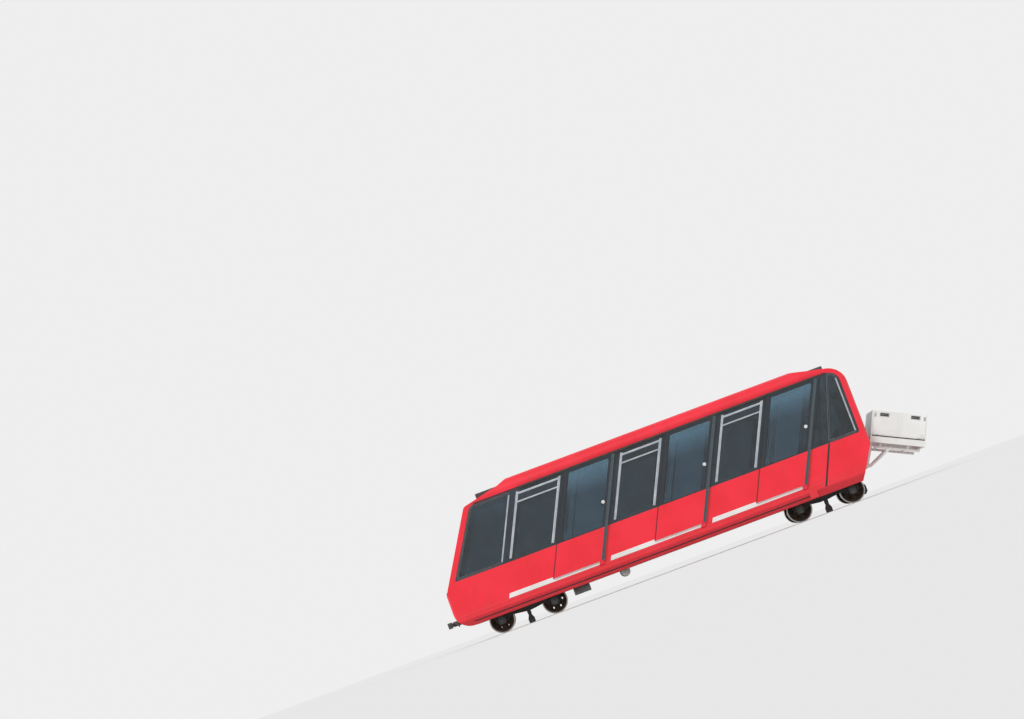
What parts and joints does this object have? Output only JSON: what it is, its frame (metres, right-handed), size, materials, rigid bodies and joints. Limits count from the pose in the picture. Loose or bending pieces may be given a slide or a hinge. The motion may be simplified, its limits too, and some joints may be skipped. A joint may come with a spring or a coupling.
{
  "type": "funicular railway car",
  "caption": "Single inclined passenger car for a metre-gauge funicular, with leaning pillars, outside sliding doors, stepped floor, two bogies and a goods platform.",
  "frame": {"origin": "centre of the whole car's box at the level of the wheel flanges' lowest points", "axes": "+X up the line along the track, +Y to the left when facing up the line, +Z square to the track; plumb pieces lean 26 degrees towards +X"},
  "size_m": [12.1558, 2.38, 3.34],
  "materials": {
    "red_enamel": "gloss",
    "door_paint": "gloss, black above the belt",
    "black_paint": "satin",
    "white_paint": "satin",
    "grey_paint": "satin",
    "tinted_glass": "clear, tinted grey",
    "window_aluminium": "anodised",
    "dark_steel": "matt, dusty",
    "worn_steel": "matt, worn bright on the treads",
    "bright_steel": "brushed",
    "floor_covering": "studded",
    "buffer_rubber": "matt",
    "lamp_lens": "clear",
    "red_upholstery": "synthetic leather, satin"
  },
  "bodies": {
    "car": {"side_panel_left": "red_enamel", "window_band_left": "black_paint", "side_panel_right": "red_enamel", "window_band_right": "black_paint", "roof": "red_enamel", "lower_end": "red_enamel", "upper_end": "red_enamel", "windscreens": "tinted_glass", "side_windows": "tinted_glass", "window_frames": "window_aluminium", "door_top_rails": "dark_steel", "rail_covers": "white_paint", "floor_steps": "floor_covering", "sills": "dark_steel", "cross_members": "dark_steel", "bolsters": "dark_steel", "buffer": "buffer_rubber", "rope_anchor": "dark_steel", "air_tank": "grey_paint", "equipment_boxes": "dark_steel", "roof_pods": "grey_paint", "headlamps": "lamp_lens", "benches": "grey_paint", "bench_cushions": "red_upholstery", "grab_poles": "bright_steel", "driver_desks": "grey_paint", "load_platform": "white_paint", "load_bracket": "white_paint"},
    "bogie_lower": {"bogie_frame_lower": "dark_steel", "track_brake_lower": "worn_steel"},
    "bogie_upper": {"bogie_frame_upper": "dark_steel", "track_brake_upper": "worn_steel"},
    "axle_1": {"wheelset_1": "worn_steel"},
    "axle_2": {"wheelset_2": "worn_steel"},
    "axle_3": {"wheelset_3": "worn_steel"},
    "axle_4": {"wheelset_4": "worn_steel"},
    "sliding_door_1_left": {"door_1_left": "door_paint", "door_glass_1_left": "tinted_glass"},
    "sliding_door_2_left": {"door_2_left": "door_paint", "door_glass_2_left": "tinted_glass"},
    "sliding_door_3_left": {"door_3_left": "door_paint", "door_glass_3_left": "tinted_glass"},
    "drop_side_body_left": {"drop_side_left": "white_paint"},
    "sliding_door_1_right": {"door_1_right": "door_paint", "door_glass_1_right": "tinted_glass"},
    "sliding_door_2_right": {"door_2_right": "door_paint", "door_glass_2_right": "tinted_glass"},
    "sliding_door_3_right": {"door_3_right": "door_paint", "door_glass_3_right": "tinted_glass"},
    "drop_side_body_right": {"drop_side_right": "white_paint"}
  },
  "joints": [
    {"name": "bogie_lower_swivel", "type": "hinge", "parent": "car", "child": "bogie_lower", "pos_m": [-4.17093, 0, 0.56], "axis": [0, 0, 1], "range_deg": [-3, 3]},
    {"name": "bogie_upper_swivel", "type": "hinge", "parent": "car", "child": "bogie_upper", "pos_m": [3.18007, 0, 0.56], "axis": [0, 0, 1], "range_deg": [-3, 3]},
    {"name": "axle_1_spin", "type": "hinge", "parent": "bogie_lower", "child": "axle_1", "pos_m": [-4.82093, 0, 0.302], "axis": [0, 1, 0], "continuous": true},
    {"name": "axle_2_spin", "type": "hinge", "parent": "bogie_lower", "child": "axle_2", "pos_m": [-3.52093, 0, 0.302], "axis": [0, 1, 0], "continuous": true},
    {"name": "axle_3_spin", "type": "hinge", "parent": "bogie_upper", "child": "axle_3", "pos_m": [2.53007, 0, 0.302], "axis": [0, 1, 0], "continuous": true},
    {"name": "axle_4_spin", "type": "hinge", "parent": "bogie_upper", "child": "axle_4", "pos_m": [3.83007, 0, 0.302], "axis": [0, 1, 0], "continuous": true},
    {"name": "door_1_left_slide", "type": "slide", "parent": "car", "child": "sliding_door_1_left", "axis": [-1, 0, 0], "range_m": [0, 1.05]},
    {"name": "door_2_left_slide", "type": "slide", "parent": "car", "child": "sliding_door_2_left", "axis": [-1, 0, 0], "range_m": [0, 1.05]},
    {"name": "door_3_left_slide", "type": "slide", "parent": "car", "child": "sliding_door_3_left", "axis": [-1, 0, 0], "range_m": [0, 1.05]},
    {"name": "door_1_right_slide", "type": "slide", "parent": "car", "child": "sliding_door_1_right", "axis": [-1, 0, 0], "range_m": [0, 1.05]},
    {"name": "door_2_right_slide", "type": "slide", "parent": "car", "child": "sliding_door_2_right", "axis": [-1, 0, 0], "range_m": [0, 1.05]},
    {"name": "door_3_right_slide", "type": "slide", "parent": "car", "child": "sliding_door_3_right", "axis": [-1, 0, 0], "range_m": [0, 1.05]},
    {"name": "drop_side_left_fold", "type": "hinge", "parent": "car", "child": "drop_side_body_left", "pos_m": [5.26905, 0.769, 1.10649], "axis": [-0.8988, 0, 0.4384], "range_deg": [0, 175]},
    {"name": "drop_side_right_fold", "type": "hinge", "parent": "car", "child": "drop_side_body_right", "pos_m": [5.26905, -0.769, 1.10649], "axis": [0.8988, 0, -0.4384], "range_deg": [0, 175]}
  ]
}
